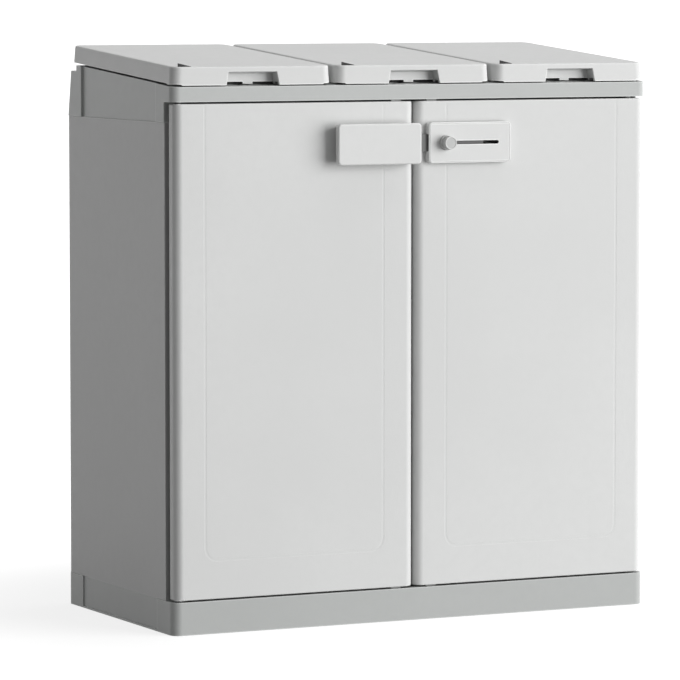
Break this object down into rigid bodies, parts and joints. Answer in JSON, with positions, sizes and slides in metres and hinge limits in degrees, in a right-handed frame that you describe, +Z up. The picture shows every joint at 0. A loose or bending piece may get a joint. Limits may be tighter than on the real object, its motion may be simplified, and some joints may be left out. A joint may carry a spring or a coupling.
{
  "type": "outdoor waste sorting cabinet",
  "caption": "Free-standing plastic cabinet for sorted waste: two hinged front doors with a sliding bolt, under separate lift-up lids on a top frame that slopes to the front.",
  "frame": {"origin": "on the floor, under the middle of the whole object's box, which includes the lock's knob", "axes": "+X to the right seen from the front, +Y to the back, +Z up; the doors face -Y"},
  "size_m": [0.93, 0.501, 1.0095],
  "materials": {
    "light_plastic": "fine moulded grain, light grey",
    "grey_plastic": "fine moulded grain, mid grey with a slight green cast",
    "dark_plastic": "fine moulded grain, dark grey",
    "pin_plastic": "smooth moulded",
    "screw_steel": "zinc plated"
  },
  "bodies": {
    "cabinet": {"base_tray": "grey_plastic", "side_panel_left": "grey_plastic", "side_panel_right": "grey_plastic", "back_panel_left": "grey_plastic", "back_panel_right": "grey_plastic", "back_joint_strip": "grey_plastic", "base_screws": "screw_steel", "frame_screws": "screw_steel", "strip_screws": "screw_steel", "top_frame": "grey_plastic", "door_hinge_pins": "pin_plastic", "lid_hinge_pins": "pin_plastic", "bag_frame_left": "dark_plastic", "bag_frame_middle": "dark_plastic", "bag_frame_right": "dark_plastic"},
    "door_left": {"door_left_shell": "light_plastic", "door_left_liner": "light_plastic", "door_left_screws": "screw_steel", "door_left_catches": "light_plastic", "handle": "light_plastic", "handle_screws": "screw_steel"},
    "door_right": {"door_right_shell": "light_plastic", "door_right_liner": "light_plastic", "door_right_screws": "screw_steel", "door_right_catches": "light_plastic", "lock_cover": "light_plastic", "lock_screws": "screw_steel"},
    "lock_bolt_body": {"lock_bolt": "grey_plastic", "lock_knob": "grey_plastic"},
    "lid_left_body": {"lid_left": "light_plastic", "lid_tag_left": "dark_plastic"},
    "lid_middle_body": {"lid_middle": "light_plastic", "lid_tag_middle": "dark_plastic"},
    "lid_right_body": {"lid_right": "light_plastic", "lid_tag_right": "dark_plastic"}
  },
  "joints": [
    {"name": "door_left_hinge", "type": "hinge", "parent": "cabinet", "child": "door_left", "pos_m": [-0.446, -0.2055, 0.5], "axis": [0, 0, -1], "range_deg": [0, 110]},
    {"name": "door_right_hinge", "type": "hinge", "parent": "cabinet", "child": "door_right", "pos_m": [0.446, -0.2055, 0.5], "axis": [0, 0, 1], "range_deg": [0, 110]},
    {"name": "lock_bolt_slide", "type": "slide", "parent": "door_right", "child": "lock_bolt_body", "axis": [1, 0, 0], "range_m": [-0.008, 0.048]},
    {"name": "lid_left_hinge", "type": "hinge", "parent": "cabinet", "child": "lid_left_body", "pos_m": [-0.3113, 0.223, 0.98445], "axis": [-1, 0, 0], "range_deg": [0, 95]},
    {"name": "lid_middle_hinge", "type": "hinge", "parent": "cabinet", "child": "lid_middle_body", "pos_m": [0, 0.223, 0.98445], "axis": [-1, 0, 0], "range_deg": [0, 95]},
    {"name": "lid_right_hinge", "type": "hinge", "parent": "cabinet", "child": "lid_right_body", "pos_m": [0.3113, 0.223, 0.98445], "axis": [-1, 0, 0], "range_deg": [0, 95]}
  ]
}
